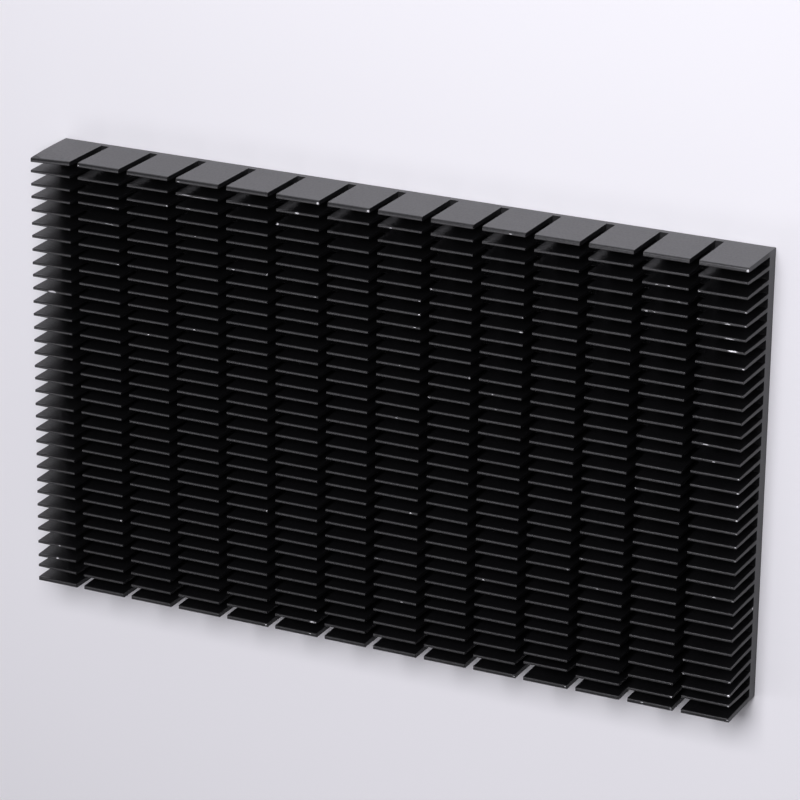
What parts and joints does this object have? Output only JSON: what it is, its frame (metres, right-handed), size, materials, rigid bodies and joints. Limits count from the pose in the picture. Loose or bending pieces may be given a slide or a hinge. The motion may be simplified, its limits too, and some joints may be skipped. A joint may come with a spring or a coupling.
{
  "type": "heat sink",
  "caption": "Flat-backed aluminium heat sink: an extruded comb of thin straight fins, saw-cut across into a field of short fins that give a mounted module's heat to the air.",
  "frame": {"origin": "middle of the flat mounting face, on which the part lies", "axes": "+X along the fins, +Y across the fins, +Z from the mounting face up to the fin tips"},
  "size_m": [0.3, 0.18, 0.028],
  "materials": {
    "black_anodised": "satin black anodised"
  },
  "bodies": {
    "root": {"heat_sink": "black_anodised"}
  },
  "joints": []
}
